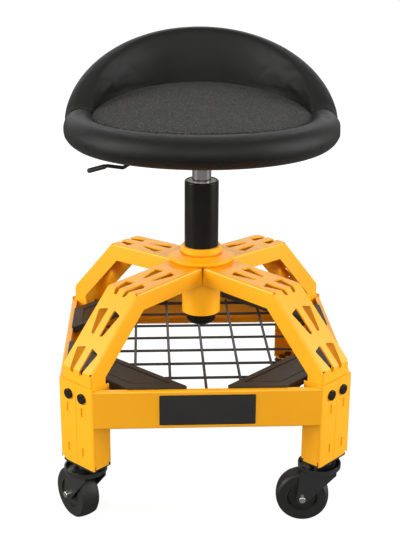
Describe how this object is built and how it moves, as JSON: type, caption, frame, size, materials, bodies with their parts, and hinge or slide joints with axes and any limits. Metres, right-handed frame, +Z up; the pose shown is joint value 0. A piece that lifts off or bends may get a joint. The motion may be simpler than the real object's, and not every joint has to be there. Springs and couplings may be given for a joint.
{
  "type": "rolling shop stool",
  "caption": "Height-adjustable rolling shop stool with a square steel base, wire shelf, corner trays and a round padded seat with a low backrest.",
  "frame": {"origin": "on the floor, on the axis of the central column", "axes": "+Z up, +X to the right seen from the front, -Y towards the front, where the plate is"},
  "size_m": [0.4181, 0.4081, 0.6575],
  "materials": {
    "yellow_coat": "smooth powder coat with a slight gloss",
    "black_coat": "satin black coat",
    "tray_plastic": "fine matt texture",
    "wheel_rubber": "moulded, satin",
    "zinc": "bright zinc plate",
    "cap_black": "satin black",
    "plate_black": "plain and smooth",
    "wire_coat": "satin dark coat",
    "white_plastic": "plain",
    "bumper_rubber": "plain",
    "piston_metal": "turned",
    "chrome": "polished",
    "grip_plastic": "moulded grip",
    "plywood": "raw plywood",
    "vinyl": "smooth vinyl with a soft sheen",
    "seat_fabric": "speckled dark woven cloth"
  },
  "bodies": {
    "base": {"hub_sleeve": "yellow_coat", "hub_disc": "yellow_coat", "hub_collar": "yellow_coat", "arm_front_left": "yellow_coat", "arm_front_right": "yellow_coat", "arm_rear_left": "yellow_coat", "arm_rear_right": "yellow_coat", "rail_front": "yellow_coat", "rail_right": "yellow_coat", "rail_rear": "yellow_coat", "rail_left": "yellow_coat", "corner_post_front_left": "yellow_coat", "corner_post_front_right": "yellow_coat", "corner_post_rear_left": "yellow_coat", "corner_post_rear_right": "yellow_coat", "tray_front_left": "tray_plastic", "tray_front_right": "tray_plastic", "tray_rear_left": "tray_plastic", "tray_rear_right": "tray_plastic", "wire_shelf": "wire_coat", "corner_bolts": "cap_black", "caster_bolts": "zinc", "name_plate": "plate_black", "column_tube": "black_coat", "column_bushing": "white_plastic", "thrust_bearing": "zinc", "caster_head_front_left": "black_coat", "caster_head_front_right": "black_coat", "caster_head_rear_left": "black_coat", "caster_head_rear_right": "black_coat"},
    "lift_rod": {"piston_rod": "zinc", "piston": "piston_metal", "retaining_clip": "zinc", "rebound_bumper": "bumper_rubber"},
    "seat": {"pressure_tube": "chrome", "seat_hub": "black_coat", "seat_plate": "black_coat", "seat_plate_bolts": "zinc", "lever_pin": "zinc", "seat_board": "plywood", "seat_pad": "seat_fabric", "seat_bolster": "vinyl", "backrest_pad": "vinyl", "backrest_panel": "plywood", "backrest_brackets": "black_coat"},
    "lever": {"lever_rod": "black_coat", "lever_grip": "grip_plastic"},
    "release": {"release_pin": "zinc"},
    "fork_front_left": {"caster_fork_front_left": "black_coat", "caster_axle_front_left": "zinc"},
    "wheel_front_left": {"caster_wheel_front_left": "wheel_rubber"},
    "fork_front_right": {"caster_fork_front_right": "black_coat", "caster_axle_front_right": "zinc"},
    "wheel_front_right": {"caster_wheel_front_right": "wheel_rubber"},
    "fork_rear_left": {"caster_fork_rear_left": "black_coat", "caster_axle_rear_left": "zinc"},
    "wheel_rear_left": {"caster_wheel_rear_left": "wheel_rubber"},
    "fork_rear_right": {"caster_fork_rear_right": "black_coat", "caster_axle_rear_right": "zinc"},
    "wheel_rear_right": {"caster_wheel_rear_right": "wheel_rubber"}
  },
  "joints": [
    {"name": "seat_swivel", "type": "hinge", "parent": "base", "child": "lift_rod", "pos_m": [0, 0, 0.237], "axis": [0, 0, 1], "continuous": true},
    {"name": "seat_lift", "type": "slide", "parent": "lift_rod", "child": "seat", "axis": [0, 0, 1], "range_m": [0, 0.11]},
    {"name": "height_lever", "type": "hinge", "parent": "seat", "child": "lever", "pos_m": [-0.03, 0, 0.5309], "axis": [0, 1, 0], "range_deg": [0, 7]},
    {"name": "release_press", "type": "slide", "parent": "seat", "child": "release", "axis": [0, 0, -1], "range_m": [0, 0.0037]},
    {"name": "swivel_front_left", "type": "hinge", "parent": "base", "child": "fork_front_left", "pos_m": [-0.16737, -0.16737, 0.08], "axis": [0, 0, 1], "continuous": true},
    {"name": "roll_front_left", "type": "hinge", "parent": "fork_front_left", "child": "wheel_front_left", "pos_m": [-0.18343, -0.14443, 0.0381], "axis": [-0.8192, -0.5736, 0], "continuous": true},
    {"name": "swivel_front_right", "type": "hinge", "parent": "base", "child": "fork_front_right", "pos_m": [0.16737, -0.16737, 0.08], "axis": [0, 0, 1], "continuous": true},
    {"name": "roll_front_right", "type": "hinge", "parent": "fork_front_right", "child": "wheel_front_right", "pos_m": [0.13952, -0.16444, 0.0381], "axis": [-0.1045, -0.9945, 0], "continuous": true},
    {"name": "swivel_rear_left", "type": "hinge", "parent": "base", "child": "fork_rear_left", "pos_m": [-0.16737, 0.16737, 0.08], "axis": [0, 0, 1], "continuous": true},
    {"name": "roll_rear_left", "type": "hinge", "parent": "fork_rear_left", "child": "wheel_rear_left", "pos_m": [-0.14141, 0.15688, 0.0381], "axis": [0.3746, 0.9272, 0], "continuous": true},
    {"name": "swivel_rear_right", "type": "hinge", "parent": "base", "child": "fork_rear_right", "pos_m": [0.16737, 0.16737, 0.08], "axis": [0, 0, 1], "continuous": true},
    {"name": "roll_rear_right", "type": "hinge", "parent": "fork_rear_right", "child": "wheel_rear_right", "pos_m": [0.14199, 0.15554, 0.0381], "axis": [0.4226, -0.9063, 0], "continuous": true}
  ],
  "couplings": [
    {"joint": "release_press", "follows": "height_lever", "m_per_rad": 0.03}
  ]
}
